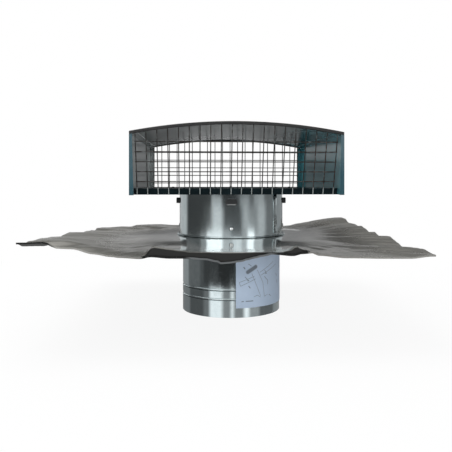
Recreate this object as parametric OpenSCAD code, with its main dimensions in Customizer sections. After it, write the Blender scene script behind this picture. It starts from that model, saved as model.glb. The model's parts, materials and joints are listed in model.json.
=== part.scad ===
// Roof vent cap: a box hood with an arched roof and two wire mesh ends, on a round collar,
// a soft flashing sheet and a duct pipe. The pipe's lower end is at z = 0, on the Z axis.
// The hood's front faces -Y. All lengths are in millimetres and all angles in degrees.

/* [Duct pipe] */
// Outside diameter of the pipe
pipe_d = 150; // [100:1:200]
// Length of the pipe from its lower end
pipe_length = 172; // [150:1:178]
// Wall thickness of the pipe
pipe_wall = 1; // [0.6:0.1:1.4]
// Height of the lower rolled groove
groove_low_z = 26.2; // [16:0.1:40]
// Distance between the two rolled grooves
groove_gap = 13.5; // [9:0.1:24]
// Depth of each rolled groove
groove_depth = 1.2; // [0.6:0.1:1.6]

/* [Collar] */
// Radial room between the pipe and the inside of the collar
collar_room = 4; // [3.6:0.1:6]
// Wall thickness of the collar
collar_wall = 1; // [0.6:0.1:1.2]
// Height of the collar from its rim to the hood floor
collar_height = 70.3; // [60:0.1:110]
// Reach of the bottom rim beyond the collar wall
rim_reach = 4.2; // [3:0.1:6]
// Reach of the top flange beyond the collar wall
top_flange_reach = 17; // [14:0.5:24]
// Turn of the collar and its fixings about the pipe axis
collar_turn = -3; // [-15:1:15]
// Direction of the spot welded seam
seam_angle = -39; // [-60:1:-20]
// Width of the lapped seam strip
seam_width = 9; // [6:0.5:14]
// Number of spot welds along the seam
weld_count = 12; // [6:1:16]

/* [Collar fixings] */
// Length of a locking lug around the collar
lug_length = 17; // [14:0.5:22]
// Height of a locking lug
lug_height = 8.6; // [6:0.1:12]
// Reach of a locking lug from the collar
lug_reach = 4.8; // [3:0.1:7]
// Distance from the hood floor down to the middle of a lug
lug_drop = 18.6; // [14:0.1:24]
// Height of the collar rivets above the rim
rivet_rise = 13.2; // [10:0.1:16]
// Distance of the floor rivets from the collar wall
floor_rivet_out = 11; // [8:0.5:12]
// Radius of a rivet head
rivet_head_r = 3.3; // [2.4:0.1:4]
// Height of a rivet head
rivet_head_h = 1.6; // [1:0.1:2.4]
// Radius of a rivet shank
rivet_shank_r = 1.6; // [1.2:0.1:2]

/* [Hood] */
// Width of the hood
hood_width = 280; // [240:1:360]
// Length of the hood from front to rear
hood_length = 310; // [270:1:400]
// Height of the sides at their outer edge
side_height = 82.6; // [70:0.1:120]
// Rise of the arched roof above the eaves
crown_rise = 13.5; // [8:0.5:24]
// Thickness of the hood sheet
hood_wall = 1.2; // [0.8:0.1:1.6]
// Depth of the turned down edges of the floor
floor_drop = 8.4; // [6:0.1:12]
// Width of the front side flange at the top
front_flange_top = 4; // [2.5:0.1:6]
// Width of the front side flange at the bottom
front_flange_low = 6; // [3:0.1:6]
// Width of the rear side flange
rear_flange = 9; // [7:0.1:9]
// Width of the flange under the roof
eave_flange = 10; // [6:0.5:14]
// Reach of the edge trim over the roof
trim_reach = 6; // [4:0.1:8]
// Rivets along each side
side_rivet_count = 3; // [2:1:5]

/* [Wire mesh] */
// Diameter of the wire
wire_d = 1.4; // [1:0.1:1.8]
// Upright wires in each mesh
wire_count = 20; // [14:1:24]
// Level wires in each mesh
row_count = 5; // [3:1:5]
// Distance between level wires
row_pitch = 13.85; // [10:0.05:15]
// Distance from the hood front to the foot of the front mesh
mesh_foot = 35; // [31:0.5:50]
// Lean of the front mesh, its top towards the front
mesh_lean = 18.7; // [0:0.1:18.7]
// Room between the front mesh and each side
front_mesh_room = 5.8; // [3:0.1:10]
// Room between the rear mesh and each side
rear_mesh_room = 7.6; // [5:0.1:10]

/* [Flashing] */
// Width of the flashing sheet across the hood
sheet_width = 478; // [400:1:560]
// Length of the flashing sheet from front to rear
sheet_length = 490; // [400:1:560]
// Thickness of the flashing sheet
sheet_wall = 2; // [1.2:0.1:3]
// Height of the sheet's top face at the collar
sheet_z = 115; // [108:0.5:116]
// Sideways shift of the sheet's middle
sheet_shift = -10; // [-20:1:20]
// Turn of the sheet about the pipe axis
sheet_turn = -1.5; // [-6:0.1:6]
// Droop of the sheet's edges
edge_droop = 6; // [0:0.5:10]
// Depth of the fold at the middle of the front edge
fold_drop = 5; // [0:0.5:8]

/* [Neck and seal] */
// Wall thickness of the neck ring
neck_wall = 1.2; // [0.8:0.1:1.2]
// Height of the neck ring above the sheet
neck_rise = 20; // [18:0.5:26]
// Reach of the neck flange under the sheet
neck_flange_reach = 16; // [10:0.5:18]
// Height of the seal ring
seal_height = 14; // [8:0.5:14]

/* [Instruction sheet] */
// Height of the paper sheet
paper_height = 90; // [50:1:91]
// Distance from the pipe's lower end to the paper
paper_z = 14; // [13:0.5:18]
// Angle of the paper's left edge
paper_start = -88; // [-110:1:-70]
// Angle that the paper covers
paper_arc = 92; // [40:1:120]
// Thickness of the paper
paper_wall = 0.3; // [0.2:0.1:0.4]

/* [Hidden] */

// Clearance between pieces that seat on each other
seat = 0.2;
// Room under a flat rivet head on a curved wall
curve_seat = 0.05;
// Smoothness of small, middling and large rounds
fine_fn = 32;
ring_fn = 128;
arch_fn = 720;

pipe_r = pipe_d / 2;
groove_r = 2.2;
bead_r = groove_r + pipe_wall;

collar_in_r = pipe_r + collar_room;
collar_r = collar_in_r + collar_wall;
rim_z = sheet_z + seat;
collar_top_z = rim_z + collar_height;
rim_roll_r = 1.1;
lug_z = collar_top_z - lug_drop;
rivet_z = rim_z + rivet_rise;
rivet_tail_r = 2.4;
rivet_tail_h = 1;
lug_peg_r = 2.2;
lug_root = 2;
peg_reach = 1;
hole_slip = 0.1;
weld_r = 0.9;
weld_out = 0.3;
seam_wall = 0.7;
seam_end = 5;
fixing_angles = [for (k = [0:3]) collar_turn + 90 * k];

neck_r = collar_in_r - 0.3;
neck_in_r = neck_r - neck_wall;
neck_under = 9;
neck_flange_z = sheet_z - sheet_wall - seat;
seal_r = neck_in_r - seat;
seal_in_r = pipe_r + seat;
seal_z = neck_flange_z - neck_under + 1;

floor_z = collar_top_z + hood_wall;
hood_z = floor_z - floor_drop;
eave_z = hood_z + side_height;
crown_z = eave_z + crown_rise;
half_w = hood_width / 2;
half_l = hood_length / 2;
inner_w = half_w - hood_wall;

slip = 0.15;
trim_r = (half_w * half_w + crown_rise * crown_rise) / (2 * crown_rise);
arch_z = crown_z - trim_r;
roof_r = trim_r - hood_wall - slip;
roof_in_r = roof_r - hood_wall;
trim_in_r = roof_in_r - slip - hood_wall;

wire_r = wire_d / 2;
weld_sink = 0.2;
wire_end = 1.5;
wire_foot = 0.6;
lip_back = wire_r + curve_seat;
foot_y = mesh_foot - half_l;
front_pitch = 2 * (inner_w - front_mesh_room) / (wire_count - 1);
rear_pitch = 2 * (inner_w - rear_mesh_room) / (wire_count - 1);
rear_wire_y = half_l - hood_wall - seat - wire_r;
front_row_z = 17.2;
rear_row_z = 15.5;
hem_r = 1.1;
pan_w = inner_w - seat;
side_rivet_z = hood_z + floor_drop / 2;

sheet_hole_r = neck_r + 0.6;
sheet_flat_r = collar_r + 19;
around = 128;
rings = 17;
fold_start = 228;
fold_run = 9;
fold_left = -150;
fold_right = 100;
// Waves pressed into the sheet by hand: middle x, middle y, reach outwards, reach across, lift
waves = [
    [-254, -245, 60, 60, 19], [-253, -150, 60, 45, 12], [-250, -75, 60, 38, 9],
    [-249, 0, 60, 26, 8], [-248, 45, 50, 22, 3], [-208, 250, 24, 10, 3], [-150, 249, 50, 36, 4],
    [234, 236, 60, 26, 13], [234, 195, 70, 28, 10], [232, 115, 80, 45, 10], [230, 58, 60, 22, 4],
    [229, 0, 60, 16, 7], [227, -72, 60, 24, 8], [226, -132, 50, 18, -3], [223, -216, 40, 28, 6.5],
    [165, 242, 50, 30, 2], [-215, -248, 30, 26, 4], [-142, -229, 14, 16, 5],
    [-110, -235, 30, 50, 4], [-25, -215, 60, 80, 4], [-22, -245, 14, 20, -3],
    [34, -245, 14, 20, 6], [76, -245, 14, 24, 7], [72, -230, 14, 16, 5], [70, -232, 20, 40, 2]
];

// Distance back from the foot of the leaning mesh, at height z and depth back behind its wires
function lean_y(z, back) = foot_y - (z - hood_z) * tan(mesh_lean) + back / cos(mesh_lean);

// Soft step from 0 to 1
function soft(t) = let (c = max(0, min(1, t))) c * c * (3 - 2 * c);

// Lift of one wave at a point, its reach outwards taken along the line from the pipe axis
function lift_of(w, p) = let (
        out = [w[0], w[1]] / norm([w[0], w[1]]), away = p - [w[0], w[1]],
        a = away * out / w[2], b = cross(away, out) / w[3])
    w[4] * exp(-a * a - b * b);

// Lift of all pressed waves at a point of the sheet
function wave_lift(x, y, k = 0) = k == len(waves) ? 0 :
    lift_of(waves[k], [x, y]) + wave_lift(x, y, k + 1);

// Drop of the folded front edge at a point of the sheet
function front_fold(x, y) = fold_drop * soft((-y - fold_start) / fold_run)
    * soft((x - fold_left) / 6) * soft((fold_right - x) / 40);

// Height of the sheet's top face
function sheet_top(x, y) = let (r = norm([x, y]))
    sheet_z + soft((r - sheet_flat_r) / 110) * (wave_lift(x, y) - edge_droop) - front_fold(x, y);

// Point of the sheet's outline at an angle
function outline(a) = let (
        reach = 1 / max(abs(cos(a)) / (sheet_width / 2), abs(sin(a)) / (sheet_length / 2)),
        x = sheet_shift + reach * cos(a), y = reach * sin(a), t = sheet_turn)
    [x * cos(t) - y * sin(t), x * sin(t) + y * cos(t)];

// Corner angle of the sheet, so that a point of the outline falls on each corner
function spread(i) = let (side = floor(i / (around / 4)), f = i / (around / 4) - side,
        c = atan(sheet_length / sheet_width), quarter = side % 2 == 0)
    side * 90 + (f < 0.5 ? 2 * f * (quarter ? c : 90 - c)
        : (quarter ? c : 90 - c) + (2 * f - 1) * (quarter ? 90 - c : c));

// Point of the sheet in plan: ring 0 is the hole, ring 1 the end of the flat, the last the outline
function plan_point(ring, i) = let (a = spread(i), dir = [cos(a), sin(a)])
    ring == 0 ? sheet_hole_r * dir :
    let (t = (ring - 1) / (rings - 1)) sheet_flat_r * dir * (1 - t) + outline(a) * t;

// Sheet along Y with a profile drawn in X and Z
module run_along_y(y0, y1) {
    translate([0, y1, 0]) rotate([90, 0, 0]) linear_extrude(y1 - y0) children();
}

// Sheet along X with a profile drawn in Y and Z
module run_along_x(x0, x1) {
    translate([x0, 0, 0]) rotate([90, 0, 90]) linear_extrude(x1 - x0) children();
}

// Disc of the roof's arch, drawn in X and Z
module arch_disc(r) {
    translate([0, arch_z]) circle(r, $fn = arch_fn);
}

// Band of the roof's arch between two radii, from x0 to x1
module arch_band(r_in, r_out, x0, x1) {
    intersection() {
        difference() {
            arch_disc(r_out);
            arch_disc(r_in);
        }
        translate([x0, hood_z]) square([x1 - x0, crown_z - hood_z + 1]);
    }
}

// Copies the children to each collar fixing, with +X pointing outwards
module at_fixings() {
    for (a = fixing_angles) rotate([0, 0, a]) children();
}

// Rivet along Z: a domed head above z = 0, a shank through the grip and a tail below
module rivet(grip) {
    dome_r = (rivet_head_r * rivet_head_r + rivet_head_h * rivet_head_h) / (2 * rivet_head_h);
    intersection() {
        translate([0, 0, rivet_head_h - dome_r]) sphere(dome_r, $fn = 48);
        cylinder(r = 2 * rivet_head_r, h = 2 * rivet_head_h, $fn = fine_fn);
    }
    translate([0, 0, -grip - rivet_tail_h / 2])
        cylinder(r = rivet_shank_r, h = grip + (rivet_tail_h + rivet_head_h) / 2, $fn = fine_fn);
    translate([0, 0, -grip - rivet_tail_h])
        cylinder(r = rivet_tail_r, h = rivet_tail_h, $fn = fine_fn);
}

// Round hole through a wall, along Z
module rivet_hole(depth, r = rivet_shank_r + hole_slip) {
    translate([0, 0, -depth]) cylinder(r = r, h = 2 * depth, $fn = fine_fn);
}

// Pipe wall with two grooves rolled inwards
module pipe() {
    color("silver") rotate_extrude($fn = ring_fn) difference() {
        union() {
            translate([pipe_r - pipe_wall, 0]) square([pipe_wall, pipe_length]);
            for (z = [groove_low_z, groove_low_z + groove_gap]) intersection() {
                translate([pipe_r + groove_r - groove_depth, z]) circle(bead_r, $fn = fine_fn);
                translate([0, z - bead_r]) square([pipe_r, 2 * bead_r]);
            }
        }
        for (z = [groove_low_z, groove_low_z + groove_gap])
            translate([pipe_r + groove_r - groove_depth, z]) circle(groove_r, $fn = fine_fn);
    }
}

// Collar wall with its rolled bottom rim and its top flange
module collar_shell() {
    rotate_extrude($fn = ring_fn) {
        translate([collar_in_r, rim_z]) square([collar_wall, collar_height]);
        translate([collar_in_r, rim_z]) square([collar_wall + rim_reach - rim_roll_r, collar_wall]);
        translate([collar_r + rim_reach - rim_roll_r, rim_z + rim_roll_r])
            circle(rim_roll_r, $fn = fine_fn);
        translate([collar_in_r, collar_top_z - collar_wall])
            square([collar_wall + top_flange_reach, collar_wall]);
    }
}

// Lapped strip of the seam with its row of spot welds
module seam() {
    strip_z = rim_z + seam_end;
    strip_h = collar_height - 2 * seam_end;
    rotate([0, 0, seam_angle]) {
        intersection() {
            difference() {
                cylinder(r = collar_r + seam_wall, h = collar_top_z, $fn = ring_fn);
                translate([0, 0, -1])
                    cylinder(r = collar_r - collar_wall / 2, h = collar_top_z + 2, $fn = ring_fn);
            }
            translate([pipe_r, -seam_width / 2, strip_z]) cube([pipe_r, seam_width, strip_h]);
        }
        for (k = [0:weld_count - 1])
            translate([collar_r, 0, strip_z + strip_h * (k + 0.5) / weld_count])
                rotate([0, 90, 0]) cylinder(r = weld_r, h = seam_wall + weld_out, $fn = 16);
    }
}

module collar() {
    color("gainsboro") difference() {
        union() {
            collar_shell();
            seam();
        }
        at_fixings() {
            translate([collar_r, 0, rivet_z]) rotate([0, 90, 0]) rivet_hole(4 * collar_wall);
            translate([collar_r, 0, lug_z]) rotate([0, 90, 0])
                rivet_hole(4 * collar_wall, lug_peg_r + hole_slip);
            translate([collar_r + floor_rivet_out, 0, collar_top_z]) rivet_hole(3 * collar_wall);
        }
    }
}

// Rounded lug with a peg through the collar wall
module locking_lug() {
    end = (lug_length - lug_height) / 2;
    difference() {
        translate([collar_r - lug_root, 0, lug_z]) rotate([0, 90, 0]) {
            for (side = [-1, 1]) translate([0, side * end, 0])
                cylinder(r = lug_height / 2, h = lug_root + lug_reach, $fn = fine_fn);
            translate([-lug_height / 2, -end, 0]) cube([lug_height, 2 * end, lug_root + lug_reach]);
        }
        translate([0, 0, lug_z - lug_height])
            cylinder(r = collar_r + seat, h = 2 * lug_height, $fn = ring_fn);
    }
    translate([collar_in_r - peg_reach, 0, lug_z]) rotate([0, 90, 0])
        cylinder(r = lug_peg_r, h = peg_reach + collar_wall + lug_reach / 2, $fn = fine_fn);
}

module locking_lugs() {
    color("dimgray") at_fixings() locking_lug();
}

// Rivets that hold the collar to the neck ring
module collar_rivets() {
    color("white") at_fixings() translate([collar_r + curve_seat, 0, rivet_z]) rotate([0, 90, 0])
        rivet(collar_r - neck_in_r + 3 * curve_seat);
}

// Rivets that hold the hood floor to the collar's top flange
module floor_rivets() {
    color("black") at_fixings() translate([collar_r + floor_rivet_out, 0, floor_z])
        rivet(hood_wall + collar_wall);
}

// Sleeve between the collar and the seal, with a flange under the sheet
module neck_ring() {
    color("silver") difference() {
        rotate_extrude($fn = ring_fn) {
            translate([neck_in_r, neck_flange_z - neck_under])
                square([neck_wall, neck_under + sheet_z - neck_flange_z + neck_rise]);
            translate([neck_in_r, neck_flange_z - neck_wall])
                square([neck_wall + neck_flange_reach, neck_wall]);
        }
        at_fixings() translate([neck_r, 0, rivet_z]) rotate([0, 90, 0]) rivet_hole(4 * neck_wall);
    }
}

// Soft ring that closes the gap between the pipe and the neck ring
module seal_ring() {
    color("darkslategray") rotate_extrude($fn = ring_fn)
        translate([seal_in_r, seal_z]) square([seal_r - seal_in_r, seal_height]);
}

// Soft square sheet with a round hole, drooping and waved towards its edges
module flashing() {
    top = [for (j = [0:rings]) for (i = [0:around - 1])
        let (p = plan_point(j, i)) [p[0], p[1], sheet_top(p[0], p[1])]];
    under = [for (p = top) [p[0], p[1], p[2] - sheet_wall]];
    layer = len(top);
    far = rings * around;
    strips = [for (j = [0:rings - 1]) for (i = [0:around - 1])
        let (a = j * around + i, b = j * around + (i + 1) % around) [a, b, b + around, a + around]];
    edges = [for (i = [0:around - 1]) let (b = (i + 1) % around)
        each [[i, i + layer, b + layer, b], [far + i, far + b, far + b + layer, far + i + layer]]];
    quads = concat(strips, edges, [for (s = strips) [for (k = [3:-1:0]) s[k] + layer]]);
    faces = [for (q = quads) each [[q[0], q[1], q[2]], [q[0], q[2], q[3]]]];
    color("gray") polyhedron(points = concat(top, under), faces = faces);
}

// Arched roof panel
module roof() {
    end = half_l - hood_wall - slip;
    color("cadetblue") run_along_y(-end, end) arch_band(roof_in_r, roof_r, -half_w, half_w);
}

// Edge trim folded over the front edge of the roof
module front_trim() {
    color("darkslategray") {
        run_along_y(-half_l, -half_l + hood_wall) arch_band(trim_in_r, trim_r, -half_w, half_w);
        run_along_y(-half_l, -half_l + trim_reach)
            arch_band(trim_r - hood_wall, trim_r, -half_w, half_w);
        run_along_y(-half_l, -half_l + trim_reach)
            arch_band(trim_in_r, trim_in_r + hood_wall, -half_w, half_w);
    }
}

module rear_trim() {
    mirror([0, 1, 0]) front_trim();
}

// Side panel on the +X side, with a flange under the roof and a flange at each end
module side_panel() {
    top_r = roof_in_r - slip;
    under_trim_r = trim_in_r - slip;
    difference() {
        run_along_y(-half_l, half_l) {
            intersection() {
                translate([inner_w, hood_z]) square([hood_wall, side_height]);
                arch_disc(top_r);
            }
            arch_band(top_r - hood_wall, top_r, half_w - eave_flange, half_w);
        }
        for (side = [-1, 1]) {
            trim_end = side * (half_l - trim_reach - slip);
            run_along_y(min(trim_end, side * (half_l + 1)), max(trim_end, side * (half_l + 1)))
                arch_band(under_trim_r, trim_r, 0, half_w + 1);
        }
    }
    run_along_y(-half_l, -half_l + hood_wall) intersection() {
        polygon([[half_w, hood_z], [half_w - front_flange_low, hood_z],
            [half_w - front_flange_top, eave_z], [half_w, eave_z]]);
        arch_disc(under_trim_r);
    }
    run_along_y(half_l - hood_wall, half_l) intersection() {
        translate([half_w - rear_flange, hood_z]) square([rear_flange, side_height]);
        arch_disc(under_trim_r);
    }
}

// Side panel with the holes for its rivets
module side_right() {
    color("teal") difference() {
        side_panel();
        at_side_rivets() rivet_hole(4 * hood_wall);
    }
}

module side_left() {
    mirror([1, 0, 0]) side_right();
}

// Places of the rivets along the +X side, with +Z pointing outwards
module at_side_rivets() {
    span = half_l + foot_y;
    run = 2 * half_l - span;
    for (k = [0:side_rivet_count - 1])
        translate([half_w, foot_y + run * (k + 0.5) / side_rivet_count, side_rivet_z])
            rotate([0, 90, 0]) children();
}

module side_rivets() {
    color("teal") for (side = [0, 1]) mirror([side, 0, 0])
        at_side_rivets() rivet(2 * hood_wall + seat);
}

// Floor of the hood with turned down edges and a round hole over the collar
module floor_pan() {
    rear_y = rear_wire_y - lip_back;
    color("midnightblue") difference() {
        union() {
            translate([-pan_w, lean_y(collar_top_z, lip_back), collar_top_z])
                cube([2 * pan_w, rear_y - lean_y(collar_top_z, lip_back), hood_wall]);
            run_along_x(-pan_w, pan_w) front_lip();
            run_along_x(-pan_w, pan_w) rear_lip(rear_y);
            for (side = [-1, 1])
                translate([side * (pan_w - hood_wall / 2) - hood_wall / 2, lean_y(hood_z, lip_back) + 1,
                    hood_z])
                    cube([hood_wall, rear_y - lean_y(hood_z, lip_back) - 2, floor_drop]);
        }
        translate([0, 0, collar_top_z - 1])
            cylinder(r = collar_in_r, h = hood_wall + 2, $fn = ring_fn);
        at_fixings() translate([collar_r + floor_rivet_out, 0, floor_z]) rivet_hole(3 * hood_wall);
        for (side = [0, 1]) mirror([side, 0, 0]) at_side_rivets() rivet_hole(4 * hood_wall);
    }
}

// Front lip of the floor in Y and Z, leaning with the mesh, with a hem along its lower edge
module front_lip() {
    polygon([[lean_y(hood_z, lip_back), hood_z], [lean_y(floor_z, lip_back), floor_z],
        [lean_y(floor_z, lip_back + hood_wall), floor_z],
        [lean_y(hood_z, lip_back + hood_wall), hood_z]]);
    translate([lean_y(hood_z + hem_r, lip_back + hem_r), hood_z + hem_r]) circle(hem_r, $fn = fine_fn);
}

// Rear lip of the floor in Y and Z
module rear_lip(y) {
    translate([y - hood_wall, hood_z]) square([hood_wall, floor_drop]);
    translate([y - hem_r, hood_z + hem_r]) circle(hem_r, $fn = fine_fn);
}

// Welded mesh: uprights along Z at y = 0 and level wires behind them, on the side that back gives
module wire_grid(pitch, first_row, back, height) {
    wide = (wire_count - 1) * pitch;
    for (i = [0:wire_count - 1])
        translate([i * pitch - wide / 2, 0, wire_foot]) cylinder(r = wire_r, h = height, $fn = 16);
    for (k = [0:row_count - 1])
        translate([-wide / 2 - wire_end, back * (wire_d - weld_sink), first_row + k * row_pitch])
            rotate([0, 90, 0]) cylinder(r = wire_r, h = wide + 2 * wire_end, $fn = 16);
}

// Front mesh, leaning forwards on the front lip and cut to the arch
module front_mesh() {
    color("dimgray") intersection() {
        translate([0, foot_y, hood_z]) rotate([mesh_lean, 0, 0])
            wire_grid(front_pitch, front_row_z / cos(mesh_lean), 1, 2 * side_height);
        run_along_y(-2 * half_l, 2 * half_l) arch_disc(trim_in_r - slip);
    }
}

// Rear mesh, upright inside the rear side flanges
module rear_mesh() {
    color("dimgray") intersection() {
        translate([0, rear_wire_y, hood_z])
            wire_grid(rear_pitch, rear_row_z, -1, 2 * side_height);
        run_along_y(-2 * half_l, 2 * half_l) arch_disc(trim_in_r - slip);
    }
}

// Paper sheet wrapped around the front right of the pipe
module instruction_sheet() {
    color("lavender") rotate([0, 0, paper_start]) rotate_extrude(angle = paper_arc, $fn = ring_fn)
        translate([pipe_r + seat, paper_z]) square([paper_wall, paper_height]);
}

pipe();
collar();
locking_lugs();
collar_rivets();
floor_rivets();
neck_ring();
seal_ring();
flashing();
roof();
front_trim();
rear_trim();
side_left();
side_right();
floor_pan();
side_rivets();
front_mesh();
rear_mesh();
instruction_sheet();
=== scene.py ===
"""Looks for the roof vent cap: finishes, the soft flashing sheet, the paper, the studio and the camera.

Sizes are in millimetres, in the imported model's own frame: the pipe's lower end is at z = 0 and the
hood's front faces -Y. They become metres where a Blender operator takes them.
"""

import json
import logging
import math
from collections.abc import Callable, Iterator, Sequence
from contextlib import contextmanager
from dataclasses import dataclass, field
from enum import Enum

import bpy
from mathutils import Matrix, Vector, noise

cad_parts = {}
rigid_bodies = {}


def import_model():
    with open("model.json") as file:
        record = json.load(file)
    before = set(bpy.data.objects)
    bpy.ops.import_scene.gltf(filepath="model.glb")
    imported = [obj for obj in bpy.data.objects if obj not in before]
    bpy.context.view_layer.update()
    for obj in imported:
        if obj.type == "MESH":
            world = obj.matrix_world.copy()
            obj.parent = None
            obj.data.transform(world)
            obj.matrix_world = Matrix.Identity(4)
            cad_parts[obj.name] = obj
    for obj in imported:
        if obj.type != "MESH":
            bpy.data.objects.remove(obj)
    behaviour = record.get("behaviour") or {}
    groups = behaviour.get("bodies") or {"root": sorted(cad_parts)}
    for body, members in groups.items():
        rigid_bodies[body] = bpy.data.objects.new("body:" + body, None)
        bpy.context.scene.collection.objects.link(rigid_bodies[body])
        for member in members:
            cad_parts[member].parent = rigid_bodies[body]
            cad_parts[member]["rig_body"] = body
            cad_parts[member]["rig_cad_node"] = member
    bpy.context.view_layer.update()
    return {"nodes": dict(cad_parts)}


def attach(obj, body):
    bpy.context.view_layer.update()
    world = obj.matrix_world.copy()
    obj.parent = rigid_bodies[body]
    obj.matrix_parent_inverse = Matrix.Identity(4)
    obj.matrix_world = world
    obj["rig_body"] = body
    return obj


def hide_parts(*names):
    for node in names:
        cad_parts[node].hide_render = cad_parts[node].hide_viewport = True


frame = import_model()

LOG = logging.getLogger("roof_vent_cap")
MM = 0.001
Point = tuple[float, float]
Colour = tuple[float, float, float]


# Working in Blender


def deselect_all() -> None:
    """Deselects every object."""
    bpy.ops.object.select_all(action="DESELECT")


def pick(piece: bpy.types.Object) -> None:
    """Makes one object the only selected and the active one.

    Args:
        piece: the object to work on.
    """
    deselect_all()
    piece.select_set(True)
    bpy.context.view_layer.objects.active = piece


@contextmanager
def editing(piece: bpy.types.Object) -> Iterator[None]:
    """Holds an object in edit mode with nothing selected.

    Args:
        piece: the object to edit.
    """
    pick(piece)
    bpy.ops.object.mode_set(mode="EDIT")
    bpy.ops.mesh.select_all(action="DESELECT")
    yield
    bpy.ops.object.mode_set(mode="OBJECT")


def named(name: str) -> bpy.types.Object:
    """Names the primitive that was just added.

    Args:
        name: the new piece's name.

    Returns:
        The piece.
    """
    piece = bpy.context.object
    piece.name = name
    piece.data.name = name
    return piece


def settle(piece: bpy.types.Object) -> None:
    """Moves a piece's place, turn and scale into its mesh.

    Args:
        piece: the object to settle.
    """
    pick(piece)
    bpy.ops.object.transform_apply(location=True, rotation=True, scale=True)


def apply_modifier(piece: bpy.types.Object, kind: str, **values: object) -> None:
    """Adds one modifier to a piece and applies it.

    Args:
        piece: the object that gets it.
        kind: Blender's name of the modifier type.
        values: the modifier's settings.
    """
    pick(piece)
    modifier = piece.modifiers.new(kind.title(), kind)
    for key, value in values.items():
        setattr(modifier, key, value)
    bpy.ops.object.modifier_apply(modifier=modifier.name)


def shade_smooth(piece: bpy.types.Object, degrees: float = 35.0) -> None:
    """Shades a piece smooth, with edges sharper than an angle kept.

    Args:
        piece: the object to shade.
        degrees: the angle between two faces that still shades smooth.
    """
    pick(piece)
    bpy.ops.object.shade_smooth_by_angle(angle=math.radians(degrees))


def joined(name: str, pieces: Sequence[bpy.types.Object]) -> bpy.types.Object:
    """Joins several pieces to one.

    Args:
        name: the joined piece's name.
        pieces: the objects to join, the first of which stays.

    Returns:
        The joined piece.
    """
    deselect_all()
    for piece in pieces:
        piece.select_set(True)
    bpy.context.view_layer.objects.active = pieces[0]
    bpy.ops.object.join()
    return named(name)


def turned(name: str, profile: Sequence[Point], steps: int) -> bpy.types.Object:
    """Turns a closed wall profile around the Z axis, ring by ring.

    Args:
        name: the piece's name.
        profile: radius and height of each corner, with the first one again at the end.
        steps: corners of each ring.

    Returns:
        The turned piece.
    """
    radius, height = profile[0]
    bpy.ops.mesh.primitive_circle_add(
        vertices=steps, radius=radius * MM, location=(0, 0, height * MM)
    )
    piece = named(name)
    with editing(piece):
        bpy.ops.mesh.select_all(action="SELECT")
        for (r0, z0), (r1, z1) in zip(profile, profile[1:]):
            bpy.ops.mesh.extrude_region_move(
                TRANSFORM_OT_translate={"value": (0, 0, (z1 - z0) * MM)}
            )
            bpy.ops.transform.resize(
                value=(r1 / r0, r1 / r0, 1), center_override=(0, 0, z1 * MM)
            )
        bpy.ops.mesh.select_all(action="SELECT")
        bpy.ops.mesh.remove_doubles(threshold=0.001 * MM)
        bpy.ops.mesh.normals_make_consistent(inside=False)
    settle(piece)
    return piece


def arc(
    centre: Point, radius: float, start: float, end: float, steps: int
) -> list[Point]:
    """Lists points along an arc of a wall profile.

    Args:
        centre: radius and height of the arc's middle.
        radius: the arc's own radius.
        start: first angle in degrees, 0 outwards and 90 up.
        end: last angle in degrees.
        steps: number of stretches.

    Returns:
        The points, both ends included.
    """
    angles = [math.radians(start + (end - start) * k / steps) for k in range(steps + 1)]
    return [
        (centre[0] + radius * math.cos(a), centre[1] + radius * math.sin(a))
        for a in angles
    ]


def softened_copy(node: str, edge: float) -> bpy.types.Object:
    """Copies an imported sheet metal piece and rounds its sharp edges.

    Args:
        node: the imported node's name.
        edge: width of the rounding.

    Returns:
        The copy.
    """
    pick(frame["nodes"][node])
    bpy.ops.object.duplicate()
    piece = named("soft_" + node)
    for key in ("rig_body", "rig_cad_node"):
        if key in piece:
            del piece[key]
    piece.parent = None
    with editing(piece):
        bpy.ops.mesh.select_all(action="SELECT")
        bpy.ops.mesh.remove_doubles(threshold=0.002 * MM)
        bpy.ops.mesh.tris_convert_to_quads(
            face_threshold=math.radians(1), shape_threshold=math.radians(180)
        )
    apply_modifier(
        piece,
        "BEVEL",
        width=edge * MM,
        segments=2,
        limit_method="ANGLE",
        angle_limit=math.radians(40),
        use_clamp_overlap=True,
    )
    return piece


def mount_piece(piece: bpy.types.Object, slot: str, *nodes: str) -> None:
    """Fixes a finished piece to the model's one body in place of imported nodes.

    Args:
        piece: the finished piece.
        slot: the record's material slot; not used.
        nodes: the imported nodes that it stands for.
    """
    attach(piece, "root")
    if nodes:
        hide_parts(*nodes)
    LOG.info("%s: %d faces", piece.name, len(piece.data.polygons))


# Finishes


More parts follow.
